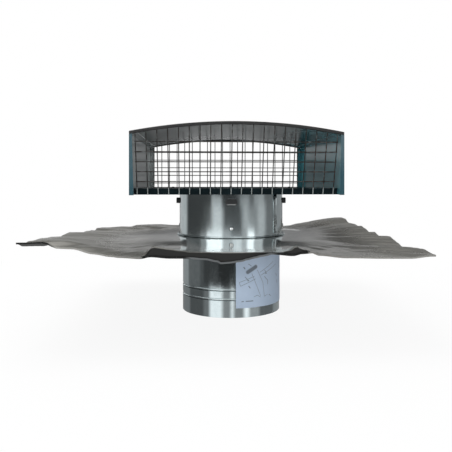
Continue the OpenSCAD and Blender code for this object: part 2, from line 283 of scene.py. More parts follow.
@dataclass
class Wiring:
    """A material's node tree with short ways to add and join its nodes."""

    name: str
    material: bpy.types.Material = field(init=False)
    shader: bpy.types.Node = field(init=False)

    def __post_init__(self) -> None:
        """Makes the material and finds its shader."""
        self.material = bpy.data.materials.new(self.name)
        self.material.use_nodes = True
        self.shader = self.material.node_tree.nodes["Principled BSDF"]

    def add(self, kind: str, **inputs: object) -> bpy.types.Node:
        """Adds a node.

        Args:
            kind: the node's type, without its ShaderNode prefix.
            inputs: values or sockets for its inputs, with _ for a space in their names.

        Returns:
            The node.
        """
        node = self.material.node_tree.nodes.new("ShaderNode" + kind)
        for key, value in inputs.items():
            self.feed(node.inputs[key.replace("_", " ")], value)
        return node

    def feed(self, socket: bpy.types.NodeSocket, value: object) -> None:
        """Gives an input a value, or links another node's output to it.

        Args:
            socket: the input.
            value: a number, a colour or an output socket.
        """
        if isinstance(value, bpy.types.NodeSocket):
            self.material.node_tree.links.new(value, socket)
        elif isinstance(value, tuple) and socket.type == "RGBA":
            socket.default_value = (*value, 1.0)
        else:
            socket.default_value = value

    def place(
        self, stretch: tuple[float, float, float] = (1, 1, 1), turn: float = 0.0
    ) -> bpy.types.NodeSocket:
        """Gives the place on the object in metres, stretched along its axes.

        Args:
            stretch: factors along X, Y and Z.
            turn: turn about Z in degrees.

        Returns:
            The vector socket.
        """
        coordinates = self.add("TexCoord").outputs["Object"]
        mapping = self.add("Mapping", Vector=coordinates, Scale=stretch)
        mapping.inputs["Rotation"].default_value = (0, 0, math.radians(turn))
        return mapping.outputs["Vector"]

    def cloud(
        self,
        place: bpy.types.NodeSocket,
        scale: float,
        detail: float = 3.0,
        rough: float = 0.5,
    ) -> bpy.types.NodeSocket:
        """Gives soft noise from 0 to 1.

        Args:
            place: where the noise is read.
            scale: noise cells to a metre.
            detail: number of finer layers.
            rough: strength of the finer layers.

        Returns:
            The value socket.
        """
        node = self.add(
            "TexNoise", Vector=place, Scale=scale, Detail=detail, Roughness=rough
        )
        return node.outputs["Fac"]

    def spread(
        self,
        value: bpy.types.NodeSocket,
        low: float,
        high: float,
        to_low: float,
        to_high: float,
    ) -> bpy.types.NodeSocket:
        """Maps a range of values to another and holds it there.

        Args:
            value: the value to map.
            low: start of its range.
            high: end of its range.
            to_low: what low becomes.
            to_high: what high becomes.

        Returns:
            The value socket.
        """
        node = self.add(
            "MapRange",
            Value=value,
            From_Min=low,
            From_Max=high,
            To_Min=to_low,
            To_Max=to_high,
        )
        return node.outputs["Result"]

    def mix(
        self, share: object, first: object, second: object
    ) -> bpy.types.NodeSocket:
        """Mixes two colours.

        Args:
            share: how much of the second colour, from 0 to 1.
            first: a colour or a socket.
            second: a colour or a socket.

        Returns:
            The colour socket.
        """
        node = self.material.node_tree.nodes.new("ShaderNodeMix")
        node.data_type = "RGBA"
        self.feed(node.inputs[0], share)
        self.feed(node.inputs[6], first)
        self.feed(node.inputs[7], second)
        return node.outputs[2]

    def sum(
        self, kind: str, first: object, second: object = 0.0
    ) -> bpy.types.NodeSocket:
        """Works out a sum of one or two values.

        Args:
            kind: Blender's name of the operation.
            first: a number or a socket.
            second: a number or a socket.

        Returns:
            The value socket.
        """
        node = self.material.node_tree.nodes.new("ShaderNodeMath")
        node.operation = kind
        self.feed(node.inputs[0], first)
        self.feed(node.inputs[1], second)
        return node.outputs[0]

    def relief(
        self,
        height: bpy.types.NodeSocket,
        depth: float,
        strength: float = 1.0,
        under: bpy.types.NodeSocket | None = None,
    ) -> bpy.types.NodeSocket:
        """Turns a height from 0 to 1 into a bumped normal.

        Args:
            height: the height.
            depth: its full depth in millimetres.
            strength: share of the relief that shows.
            under: a normal that is bumped already.

        Returns:
            The normal socket.
        """
        node = self.add("Bump", Height=height, Distance=depth * MM, Strength=strength)
        if under is not None:
            self.feed(node.inputs["Normal"], under)
        return node.outputs["Normal"]

    def set(self, **inputs: object) -> None:
        """Sets the shader's own inputs.

        Args:
            inputs: values or sockets, with _ for a space in their names.
        """
        for key, value in inputs.items():
            self.feed(self.shader.inputs[key.replace("_", " ")], value)


@dataclass(frozen=True)
class GalvanisedSteel:
    """Zinc coated sheet steel with a fine spangle and slightly wavy walls."""

    name: str
    pale: Colour = (0.61, 0.68, 0.69)
    dull: Colour = (0.44, 0.51, 0.53)
    gloss: float = 0.15
    haze: float = 0.12
    wave: float = 0.3

    def material(self) -> bpy.types.Material:
        """Builds the material."""
        w = Wiring(self.name)
        place = w.place()
        cells = w.add("TexVoronoi", Vector=place, Scale=240.0).outputs["Color"]
        grain = w.add("SeparateColor", Color=cells).outputs["Red"]
        streaks = w.cloud(w.place((1, 1, 0.1)), 42.0, 4.0, 0.6)
        stains = w.cloud(place, 24.0, 5.0, 0.65)
        tone = w.sum(
            "ADD",
            w.sum("MULTIPLY", grain, 0.16),
            w.sum(
                "ADD",
                w.spread(streaks, 0.35, 0.7, 0.0, 0.45),
                w.spread(stains, 0.5, 0.72, 0.0, 0.4),
            ),
        )
        wavy = w.relief(w.cloud(w.place((1, 1, 0.06)), 22.0, 2.0, 0.45), self.wave)
        frosted = w.relief(w.cloud(place, 420.0, 3.0, 0.6), 0.01, 0.4, wavy)
        w.set(
            Base_Color=w.mix(tone, self.pale, self.dull),
            Metallic=1.0,
            Roughness=w.spread(tone, 0.1, 0.9, self.gloss, self.gloss + self.haze),
            Normal=frosted,
        )
        return w.material


@dataclass(frozen=True)
class PetrolPaint:
    """Glossy petrol blue paint on sheet steel; the inner faces have a paler backing coat, with painted
    shade in darker teal towards the right.
    """

    name: str
    colour: Colour = (0.021, 0.063, 0.081)
    dust: Colour = (0.036, 0.077, 0.094)
    backing: Colour = (0.4, 0.43, 0.43)
    backing_dust: Colour = (0.33, 0.37, 0.37)
    shaded: Colour = (0.075, 0.24, 0.28)
    shaded_from: float = 60.0
    shaded_at: float = 120.0
    gloss: float = 0.12
    backing_gloss: float = 0.15
    coat: float = 0.3
    shine: float = 0.5
    bare: float = 0.9

    def material(self) -> bpy.types.Material:
        """Builds the material."""
        w = Wiring(self.name)
        place = w.place()
        dusty = w.spread(w.cloud(place, 26.0, 6.0, 0.7), 0.45, 0.8, 0.0, 1.0)
        inner = self.inner(w)
        outside = w.mix(dusty, self.colour, self.dust)
        across = w.add("SeparateXYZ", Vector=place).outputs["X"]
        # painted shade: the inner faces darken to teal towards the right
        right = w.spread(across, self.shaded_from * MM, self.shaded_at * MM, 0.0, 1.0)
        pale = w.mix(dusty, self.backing, self.backing_dust)
        inside = w.mix(right, pale, self.shaded)
        rough = w.spread(inner, 0.0, 1.0, self.gloss, self.backing_gloss)
        peel = w.relief(w.cloud(place, 500.0, 1.0), 0.006, 0.35)
        dented = w.relief(w.cloud(place, 9.0, 1.0), 0.3, 0.3, peel)
        w.set(
            Base_Color=w.mix(inner, outside, inside),
            Metallic=w.sum("MULTIPLY", w.sum("MULTIPLY", inner, self.forwards(w)), self.bare),
            Roughness=w.sum("ADD", rough, w.sum("MULTIPLY", dusty, 0.06)),
            Normal=dented,
            Specular_IOR_Level=self.shine,
            Coat_Weight=w.spread(inner, 0.0, 1.0, self.coat, 0.0),
            Coat_Roughness=0.08,
        )
        return w.material

    def inner(self, w: Wiring) -> bpy.types.NodeSocket:
        """Gives 1 on the faces that look into the hood and 0 outside.

        Args:
            w: the material's wiring.

        Returns:
            The value socket.
        """
        normal = w.add("NewGeometry").outputs["Normal"]
        towards = w.material.node_tree.nodes.new("ShaderNodeVectorMath")
        towards.operation = "DOT_PRODUCT"
        w.feed(towards.inputs[0], normal)
        w.feed(towards.inputs[1], w.place((1, 1, 0)))
        inwards = w.spread(towards.outputs["Value"], -0.03, -0.01, 1.0, 0.0)
        facing = w.add("SeparateXYZ", Vector=normal).outputs["Z"]
        below = w.spread(facing, -0.6, -0.3, 1.0, 0.0)
        return w.sum("MAXIMUM", inwards, below)

    def forwards(self, w: Wiring) -> bpy.types.NodeSocket:
        """Gives 1 on the faces that look to the front, where the coat is thin.

        Args:
            w: the material's wiring.

        Returns:
            The value socket.
        """
        normal = w.add("NewGeometry").outputs["Normal"]
        facing = w.add("SeparateXYZ", Vector=normal).outputs["Y"]
        return w.spread(facing, -0.9, -0.7, 1.0, 0.0)


@dataclass(frozen=True)
class SoftSheet:
    """Soft grey flashing: bright and smooth before the collar, rubbed and matt at its sides.

    Painted shade darkens its underside, the folded front edge and the curled left tip; painted light
    brightens its front edge faces, and a painted highlight runs along the front edge before the pipe.
    """

    name: str
    pale: Colour = (0.375, 0.365, 0.335)
    dull: Colour = (0.235, 0.229, 0.21)
    smooth: Colour = (0.7, 0.71, 0.7)
    # painted shade: the colour of the underside, the folded front edge and the curled left tip
    under: Colour = (0.035, 0.035, 0.034)
    # painted highlight along the front edge before the pipe
    cut: Colour = (0.22, 0.23, 0.235)
    # painted light on the front edge faces beside the fold and the tip
    rim: Colour = (0.34, 0.332, 0.31)
    sheen: float = 0.6
    bright_reach: float = 105.0
    matt_from: float = 200.0
    turn: float = 1.5
    fold_y: float = -236.0
    fold_ends: Point = (-108.0, 80.0)
    # where the painted highlight runs along the front edge
    painted_highlight_ends: Point = (-52.0, 38.0)
    tip_x: float = -213.0
    edge_y: float = -244.6

    def material(self) -> bpy.types.Material:
        """Builds the material."""
        w = Wiring(self.name)
        place = w.place()
        flat = w.place((1, 0.45, 0))
        length = w.add("VectorMath", Vector=flat)
        length.operation = "LENGTH"
        away = length.outputs["Value"]
        rubbed = w.cloud(place, 15.0, 7.0, 0.62)
        smears = w.cloud(w.place((0.5, 1.6, 1)), 34.0, 5.0, 0.6)
        tone = w.sum(
            "ADD",
            w.spread(rubbed, 0.35, 0.68, 0.0, 0.6),
            w.spread(smears, 0.4, 0.7, 0.0, 0.4),
        )
        matt = w.spread(away, self.bright_reach * MM, self.matt_from * MM, 0.0, 1.0)
        near = w.spread(away, 75.0 * MM, 125.0 * MM, 1.0, 0.0)
        # mask of the painted shade on the underside, the folded front edge and the curled tip
        painted_shade_mask = self.shaded(w)
        rough = w.sum(
            "ADD",
            w.spread(matt, 0.0, 1.0, 0.07, 0.26),
            w.sum("MULTIPLY", matt, w.spread(rubbed, 0.35, 0.7, 0.0, 0.14)),
        )
        grain = w.relief(w.cloud(place, 900.0, 2.0), 0.006, 0.4)
        creased = w.cloud(place, 55.0, 5.0, 0.62)
        pressed = w.relief(w.sum("MULTIPLY", matt, creased), 0.25, 0.5, grain)
        top = w.mix(near, w.mix(tone, self.pale, self.dull), self.smooth)
        w.set(
            Base_Color=self.with_painted_edge_light(w, w.mix(painted_shade_mask, top, self.under)),
            Metallic=w.sum("MAXIMUM", self.sheen, w.sum("MAXIMUM", painted_shade_mask, near)),
            Roughness=w.sum("MAXIMUM", rough, w.sum("MULTIPLY", painted_shade_mask, 0.5)),
            Normal=pressed,
        )
        return w.material

    def between(
        self, w: Wiring, value: bpy.types.NodeSocket, ends: Point, soft: float
    ) -> bpy.types.NodeSocket:
        """Gives 1 between two places and 0 outside them.

        Args:
            w: the material's wiring.
            value: the place in metres.
            ends: the two places in millimetres.
            soft: the width of the change.

        Returns:
            The value socket.
        """
        start = w.spread(value, (ends[0] - soft) * MM, ends[0] * MM, 0.0, 1.0)
        end = w.spread(value, ends[1] * MM, (ends[1] + soft) * MM, 1.0, 0.0)
        return w.sum("MULTIPLY", start, end)

    def shaded(self, w: Wiring) -> bpy.types.NodeSocket:
        """Gives 1 where shade is painted: on the underside, the folded front edge and the curled left
        tip.

        Args:
            w: the material's wiring.

        Returns:
            The value socket.
        """
        normal = w.add("NewGeometry").outputs["Normal"]
        facing = w.add("SeparateXYZ", Vector=normal).outputs["Z"]
        below = w.spread(facing, -0.3, 0.1, 1.0, 0.0)
        spot = w.add("SeparateXYZ", Vector=w.place(turn=self.turn))
        ahead = w.spread(
            spot.outputs["Y"], (self.fold_y - 1) * MM, (self.fold_y + 0.2) * MM, 1.0, 0.0
        )
        folded = w.sum(
            "MULTIPLY",
            ahead,
            self.between(w, spot.outputs["X"], self.fold_ends, 4.0),
        )
        tip = self.tip(w, spot.outputs["X"])
        edge = w.spread(
            spot.outputs["Y"], self.edge_y * MM, (self.edge_y + 0.3) * MM, 1.0, 0.0
        )
        return w.sum("MAXIMUM", w.sum("MAXIMUM", below, folded), w.sum("MULTIPLY", edge, tip))

    def tip(self, w: Wiring, across: bpy.types.NodeSocket) -> bpy.types.NodeSocket:
        """Gives 1 at the curled left end of the front edge and 0 beside it.

        Args:
            w: the material's wiring.
            across: the place across the sheet in metres.

        Returns:
            The value socket.
        """
        return w.spread(across, self.tip_x * MM, (self.tip_x + 8) * MM, 1.0, 0.0)

    def with_painted_edge_light(
        self, w: Wiring, colour: bpy.types.NodeSocket
    ) -> bpy.types.NodeSocket:
        """Paints light onto the front edge faces beside the fold, and a painted highlight onto the
        front edge before the pipe.

        Args:
            w: the material's wiring.
            colour: the colour of the sheet.

        Returns:
            The colour socket.
        """
        spot = w.add("SeparateXYZ", Vector=w.place(turn=self.turn))
        bare = w.spread(
            spot.outputs["Y"], self.edge_y * MM, (self.edge_y + 0.3) * MM, 1.0, 0.0
        )
        folded = self.between(w, spot.outputs["X"], self.fold_ends, 4.0)
        shown = w.sum(
            "MULTIPLY", bare, self.between(w, spot.outputs["X"], self.painted_highlight_ends, 8.0)
        )
        hidden = w.sum("MAXIMUM", folded, self.tip(w, spot.outputs["X"]))
        plain = w.sum("MULTIPLY", bare, w.sum("SUBTRACT", 1.0, hidden))
        # painted light on the front edge faces, painted highlight on the edge before the pipe
        return w.mix(shown, w.mix(plain, colour, self.rim), self.cut)


@dataclass(frozen=True)
class DullWire:
    """Welded wire that has gone dull, with paler worn patches and painted light on its lower ends where
    they cross the hood's lip.
    """

    name: str
    dull: Colour = (0.055, 0.05, 0.046)
    # pale colour of the worn patches and of the painted light on the lower ends
    bright: Colour = (0.52, 0.57, 0.57)
    painted_light_full_below: float = 186.0
    painted_light_gone_above: float = 189.0

    def material(self) -> bpy.types.Material:
        """Builds the material."""
        w = Wiring(self.name)
        place = w.place()
        height = w.add("SeparateXYZ", Vector=place).outputs["Z"]
        # painted light on the lower ends of the wires over the lip
        bare = w.spread(height, self.painted_light_full_below * MM, self.painted_light_gone_above * MM, 1.0, 0.0)
        worn = w.spread(w.cloud(place, 160.0, 4.0), 0.5, 0.75, 0.0, 0.35)
        w.set(
            Base_Color=w.mix(w.sum("MAXIMUM", bare, worn), self.dull, self.bright),
            Metallic=0.85,
            Roughness=w.spread(worn, 0.0, 0.35, 0.36, 0.5),
            Normal=w.relief(w.cloud(place, 1400.0, 2.0), 0.02, 0.5),
        )
        return w.material


@dataclass(frozen=True)
class PlainCoat:
    """A coat of paint, rubber or plastic with a fine grain and uneven gloss.

    Below a set height it has a pale painted highlight along its lower edge.
    """

    name: str
    colour: Colour
    rubbed: Colour
    gloss: float
    grain: float = 600.0
    # colour of the painted highlight along the lower edge
    edge: Colour = (0.3, 0.31, 0.31)
    painted_highlight_below: float = -50.0

    def material(self) -> bpy.types.Material:
        """Builds the material."""
        w = Wiring(self.name)
        place = w.place()
        worn = w.spread(w.cloud(place, 45.0, 5.0, 0.6), 0.45, 0.75, 0.0, 1.0)
        height = w.add("SeparateXYZ", Vector=place).outputs["Z"]
        # painted highlight below the set height
        low = w.spread(height, self.painted_highlight_below * MM, (self.painted_highlight_below + 0.5) * MM, 1.0, 0.0)
        w.set(
            Base_Color=w.mix(low, w.mix(worn, self.colour, self.rubbed), self.edge),
            Roughness=w.spread(worn, 0.0, 1.0, self.gloss, self.gloss + 0.15),
            Normal=w.relief(w.cloud(place, self.grain, 2.0), 0.03, 0.4),
        )
        return w.material


@dataclass(frozen=True)
class Stroke:
    """One drawn line on the paper, between two points of the sheet in millimetres."""

    start: Point
    end: Point
    width: float = 0.55


@dataclass(frozen=True)
class PrintedPaper:
    """Lavender grey paper with a thin line drawing of a vent on a pitched roof."""

    name: str
    size: Point
    strokes: tuple[Stroke, ...]
    paper: Colour = (0.49, 0.59, 0.73)
    shade: Colour = (0.43, 0.53, 0.66)
    ink: Colour = (0.045, 0.045, 0.05)

    def material(self) -> bpy.types.Material:
        """Builds the material."""
        w = Wiring(self.name)
        uv = w.add("TexCoord").outputs["UV"]
        spot = w.add("Mapping", Vector=uv, Scale=(*self.size, 1)).outputs["Vector"]
        marks = [self.mark(w, spot, stroke) for stroke in self.strokes]
        inked = marks[0]
        for mark in marks[1:]:
            inked = w.sum("MAXIMUM", inked, mark)
        worn = w.cloud(w.place(), 24.0, 4.0, 0.6)
        ground = w.mix(w.spread(worn, 0.35, 0.7, 0.0, 1.0), self.paper, self.shade)
        creased = w.relief(w.cloud(w.place((1, 1, 0.6)), 30.0, 3.0), 0.6, 0.5)
        w.set(
            Base_Color=w.mix(w.sum("MULTIPLY", inked, 0.75), ground, self.ink),
            Roughness=0.55,
            Normal=w.relief(w.cloud(w.place(), 1500.0, 2.0), 0.02, 0.4, creased),
        )
        return w.material

    def mark(
        self, w: Wiring, spot: bpy.types.NodeSocket, stroke: Stroke
    ) -> bpy.types.NodeSocket:
        """Gives 1 on a stroke and 0 off it.

        Args:
            w: the material's wiring.
            spot: the place on the paper in millimetres.
            stroke: the stroke.

        Returns:
            The value socket.
        """
        run = Vector((*stroke.end, 0)) - Vector((*stroke.start, 0))

        def vector(kind: str, first: object, second: object) -> bpy.types.Node:
            """Adds a vector sum."""
            node = w.material.node_tree.nodes.new("ShaderNodeVectorMath")
            node.operation = kind
            w.feed(node.inputs[0], first)
            w.feed(node.inputs[1], second)
            return node

        from_start = vector("SUBTRACT", spot, (*stroke.start, 0)).outputs["Vector"]
        along = vector("DOT_PRODUCT", from_start, tuple(run)).outputs["Value"]
        share = w.spread(along, 0.0, run.length_squared, 0.0, 1.0)
        nearest = w.material.node_tree.nodes.new("ShaderNodeVectorMath")
        nearest.operation = "SCALE"
        w.feed(nearest.inputs[0], tuple(run))
        w.feed(nearest.inputs["Scale"], share)
        away = vector("DISTANCE", from_start, nearest.outputs["Vector"]).outputs["Value"]
        half = stroke.width / 2
        return w.spread(away, half * 0.7, half * 1.3, 1.0, 0.0)


# Pieces


@dataclass
class DuctPipe:
    """The duct pipe with its two rolled grooves."""

    radius: float = 75.0
    wall: float = 1.0
    length: float = 172.0
    groove_heights: tuple[float, ...] = (26.2, 39.7)
    groove_depth: float = 1.2
    groove_radius: float = 2.2
    steps: int = 288

    def profile(self) -> list[Point]:
        """Lists the wall's profile, up the outside and down the inside.

        Returns:
            Radius and height of each corner, closed.
        """
        middle = self.radius + self.groove_radius - self.groove_depth
        reach = math.degrees(math.acos((middle - self.radius) / self.groove_radius))
        outside: list[Point] = [(self.radius, 0.3)]
        inside: list[Point] = [(self.radius - self.wall, 0.3)]
        bead = self.groove_radius + self.wall
        inner_reach = math.degrees(math.acos((middle - self.radius + self.wall) / bead))
        for z in self.groove_heights:
            outside += arc((middle, z), self.groove_radius, 180 + reach, 180 - reach, 8)
            inside += arc((middle, z), bead, 180 + inner_reach, 180 - inner_reach, 8)
        outside.append((self.radius, self.length))
        inside.append((self.radius - self.wall, self.length))
        lip: list[Point] = [(self.radius - 0.3, 0.0), (self.radius - self.wall + 0.3, 0.0)]
        return outside + inside[::-1] + lip[::-1] + outside[:1]

    def build(self, steel: bpy.types.Material) -> None:
        """Builds and dresses the pipe.

        Args:
            steel: its finish.
        """
        piece = turned("duct_pipe", self.profile(), self.steps)
        shade_smooth(piece, 40)
        piece.data.materials.append(steel)
        mount_piece(piece, "pipe_galvanised", "pipe")


@dataclass
class Collar:
    """The collar with its rolled rim, top flange, lapped seam and spot welds."""

    inside: float = 79.0
    wall: float = 1.0
    rim_z: float = 115.2
    top_z: float = 185.5
    rim_reach: float = 4.2
    roll: float = 1.1
    flange_reach: float = 17.0
    bend: float = 1.2
    seam_angle: float = -39.0
    seam_width: float = 9.0
    seam_end: float = 5.0
    welds: int = 12
    steps: int = 288

    @property
    def outside(self) -> float:
        """Outside radius of the wall."""
        return self.inside + self.wall

    def profile(self) -> list[Point]:
        """Lists the wall's profile, closed.

        Returns:
            Radius and height of each corner.
        """
        roll_at = (self.outside + self.rim_reach - self.roll, self.rim_z + self.roll)
        top = self.top_z - self.wall
        flange = self.outside + self.flange_reach
        return [
            (self.inside, self.rim_z + 0.4),
            (self.inside, self.top_z),
            (flange, self.top_z),
            (flange, top),
            *arc((self.outside + self.bend, top - self.bend), self.bend, 90, 180, 5),
            *arc(
                (self.outside + self.bend, self.rim_z + self.wall + self.bend),
                self.bend,
                180,
                270,
                5,
            ),
            *arc(roll_at, self.roll, 150, -90, 12),
            (self.inside + 0.4, self.rim_z),
            (self.inside, self.rim_z + 0.4),
        ]

    def build(self, steel: bpy.types.Material) -> None:
        """Builds and dresses the collar.

        Args:
            steel: its finish.
        """
        shell = turned("collar_shell", self.profile(), self.steps)
        piece = joined("round_collar", [shell, self.seam_strip(), *self.spot_welds()])
        shade_smooth(piece, 40)
        piece.data.materials.clear()
        piece.data.materials.append(steel)
        mount_piece(piece, "collar_galvanised", "collar")

    def seam_strip(self) -> bpy.types.Object:
        """Models the lapped strip of the seam.

        Returns:
            The strip.
        """
        low, high = self.rim_z + self.seam_end, self.top_z - self.seam_end
        bpy.ops.mesh.primitive_cube_add(size=1, location=(0, 0, (low + high) / 2 * MM))
        strip = named("seam_strip")
        strip.scale = (0.7 * MM, self.seam_width * MM, (high - low) * MM)
        strip.location.x = (self.outside + 0.2) * MM
        settle(strip)
        apply_modifier(strip, "BEVEL", width=0.25 * MM, segments=2)
        strip.rotation_euler.z = math.radians(self.seam_angle)
        settle(strip)
        return strip

    def spot_welds(self) -> list[bpy.types.Object]:
        """Models the spot welds once and copies them along the seam.

        Returns:
            The welds.
        """
        low, high = self.rim_z + self.seam_end, self.top_z - self.seam_end
        welds = []
        for k in range(self.welds):
            height = low + (high - low) * (k + 0.5) / self.welds
            bpy.ops.mesh.primitive_uv_sphere_add(segments=12, ring_count=8, radius=MM)
            weld = named(f"spot_weld_{k}")
            weld.scale.x = 0.45
            weld.location = ((self.outside + 0.55) * MM, 0, height * MM)
            settle(weld)
            weld.rotation_euler.z = math.radians(self.seam_angle)
            settle(weld)
            welds.append(weld)
        return welds


@dataclass(frozen=True)
class Wave:
    """A soft rise or hollow pressed into the sheet, with one reach outwards and one across."""

    x: float
    y: float
    outwards: float
    across: float
    lift: float

    def at(self, x: float, y: float) -> float:
        """Gives the wave's lift at a point of the sheet.

        Args:
            x: place across the hood.
            y: place along the hood.

        Returns:
            The lift.
        """
        far = math.hypot(self.x, self.y)
        dx, dy = x - self.x, y - self.y
        out = (dx * self.x + dy * self.y) / far / self.outwards
        side = (dy * self.x - dx * self.y) / far / self.across
        return self.lift * math.exp(-out * out - side * side)


def soft_step(t: float) -> float:
    """Steps softly from 0 to 1 as t does."""
    t = max(0.0, min(1.0, t))
    return t * t * (3 - 2 * t)


def along(points: Sequence[Point], t: float) -> float:
    """Reads a smooth line through chosen points.

    Args:
        points: places and heights, in order.
        t: the place to read.

    Returns:
        The height.
    """
    if t <= points[0][0]:
        return points[0][1]
    for (t0, h0), (t1, h1) in zip(points, points[1:]):
        if t <= t1:
            return h0 + (h1 - h0) * soft_step((t - t0) / (t1 - t0))
    return points[-1][1]


@dataclass
class FlashingSheet:
    """The soft square sheet around the collar, drooping, creased and curled by hand."""

    width: float = 478.0
    length: float = 490.0
    wall: float = 2.0
    top_z: float = 115.0
    shift: float = -10.0
    turn: float = -1.5
    droop: float = 6.0
    hole: float = 79.3
    flat: float = 99.0
    around: int = 480
    rings: int = 84
    pleat_reach: float = 62.0
    front_reach: float = 40.0
    waves: tuple[Wave, ...] = (
        Wave(-254, -245, 60, 60, 19),
        Wave(-253, -150, 60, 45, 12),
        Wave(-250, -75, 60, 38, 9),
        Wave(-249, 0, 60, 26, 8),
        Wave(-248, 45, 50, 22, 3),
        Wave(-208, 250, 24, 10, 3),
        Wave(-150, 249, 50, 36, 4),
        Wave(234, 236, 60, 26, 13),
        Wave(234, 195, 70, 28, 10),
        Wave(232, 115, 80, 45, 10),
        Wave(230, 58, 60, 22, 4),
        Wave(229, 0, 60, 16, 7),
        Wave(227, -72, 60, 24, 8),
        Wave(226, -132, 50, 18, -3),
        Wave(223, -216, 40, 28, 6.5),
        Wave(165, 242, 50, 30, 2),
        Wave(-215, -248, 30, 26, 4),
        Wave(-110, -235, 30, 50, 4),
        Wave(-25, -215, 60, 80, 4),
        Wave(-22, -245, 14, 20, -3),
        Wave(34, -245, 14, 20, 6),
        Wave(76, -245, 14, 24, 7),
    )
    front: tuple[Point, ...] = (
        (-247, 127.4),
        (-226, 128.2),
        (-209, 122),
        (-194, 121.5),
        (-169, 115.5),
        (-150, 112.5),
        (-140, 111.3),
        (-117, 110),
        (-106, 112),
        (-83, 110.3),
        (-66, 110.2),
        (-44, 108.6),
        (-29, 105.9),
        (-25, 103.7),
        (-17, 104.4),
        (-3, 106.1),
        (5, 108.3),
        (13, 110.1),
        (20, 111.8),
        (34, 114.3),
        (57, 112.5),
        (67, 114.7),
        (80, 115.5),
        (86, 112.7),
        (119, 109.7),
        (165, 108.9),
        (194, 108.7),
        (218, 111.1),
    )
    rear: tuple[Point, ...] = (
        (-235, 106.2),
        (-218, 112),
        (-205, 111.8),
        (-195, 109.4),
        (-185, 108.5),
        (-173, 112.5),
        (-129, 112.3),
        (-97, 110.3),
        (120, 107.6),
        (132, 108),
        (147, 111),
        (167, 112.3),
        (180, 113.9),
        (213, 115.4),
        (225, 120.4),
        (233, 122.8),
        (236, 124.4),
    )
    left: tuple[Point, ...] = (
        (-238, 127.6),
        (-178, 123),
        (-153, 123.3),
        (-108, 120.9),
        (-51, 116.5),
        (-37, 117.4),
        (-1, 118.2),
        (39, 113.7),
        (83, 109.6),
        (111, 110.3),
        (152, 108.4),
        (195, 105.4),
        (206, 108.1),
        (251, 106),
    )
    right: tuple[Point, ...] = (
        (-246, 110.2),
        (-240, 112.5),
        (-228, 114.7),
        (-218, 115.4),
        (-195, 112.7),
        (-173, 111),
        (-134, 107.3),
        (-113, 110.8),
        (-96, 113.4),
        (-79, 116.3),
        (-64, 115.7),
        (-48, 112.5),
        (-32, 110),
        (-15, 113.3),
        (-1, 116),
        (28, 112.8),
        (59, 117.1),
        (83, 119.4),
        (105, 117.8),
        (127, 119.2),
        (175, 118.6),
        (206, 124.4),
        (233, 124.7),
    )
    fold_line: tuple[Point, ...] = (
        (-113, 111.5),
        (-108, 117),
        (-103, 121.5),
        (-95, 120),
        (-84, 118.3),
        (-72, 116.4),
        (-60, 114.7),
        (46, 113.9),
        (55, 116),
        (62, 121),
        (69, 117),
        (78, 115.8),
        (88, 114),
    )
    fold_y: float = -236.0
    fold_drop: float = 5.0

    def outline(self, angle: float) -> Point:
        """Gives the sheet's outline at an angle in degrees."""
        a, t = math.radians(angle), math.radians(self.turn)
        reach = 1 / max(
            abs(math.cos(a)) / (self.width / 2), abs(math.sin(a)) / (self.length / 2)
        )
        x, y = self.shift + reach * math.cos(a), reach * math.sin(a)
        return x * math.cos(t) - y * math.sin(t), x * math.sin(t) + y * math.cos(t)

    def angle_of(self, i: int) -> float:
        """Gives the angle of a ring's corner, so that one falls on each corner of the sheet."""
        side, rest = divmod(i, self.around // 4)
        share = rest / (self.around // 4)
        corner = math.degrees(math.atan2(self.length, self.width))
        first = corner if side % 2 == 0 else 90 - corner
        if share < 0.5:
            return side * 90 + 2 * share * first
        return side * 90 + first + (2 * share - 1) * (90 - first)

    def plan(self, ring: int, i: int) -> Point:
        """Gives a point of the sheet in plan.

        Args:
            ring: 0 at the hole, 1 at the end of the flat, the last one at the outline.
            i: the corner around the ring.

        Returns:
            Its x and y.
        """
        angle = self.angle_of(i)
        a = math.radians(angle)
        if ring == 0:
            return self.hole * math.cos(a), self.hole * math.sin(a)
        t = (ring - 1) / (self.rings - 1)
        x, y = self.outline(angle)
        near = self.flat * (1 - t)
        return near * math.cos(a) + x * t, near * math.sin(a) + y * t

    def level(self, x: float, y: float) -> float:
        """Gives the height of the sheet's broad form, which the solids share."""
        lift = sum(wave.at(x, y) for wave in self.waves)
        share = soft_step((math.hypot(x, y) - self.flat) / 110)
        return self.top_z + share * (lift - self.droop)

    def creases(self, x: float, y: float) -> float:
        """Gives the small hand made creases, which run outwards from the collar."""
        far = math.hypot(x, y)
        share = soft_step((far - 150) / 100)
        if share == 0.0:
            return 0.0
        total = 0.0
        for count, along_it, lift in ((4.2, 0.006, 1.6), (9.0, 0.012, 1.2), (21.0, 0.03, 0.6)):
            spot = Vector((x / far * count, y / far * count, far * along_it))
            total += lift * (0.3 - abs(noise.noise(spot)))
        for scale, lift in ((0.02, 2.0), (0.045, 1.1), (0.1, 0.45)):
            total += lift * (0.3 - abs(noise.noise(Vector((x * scale, y * scale, 5.3)))))
        return share * total

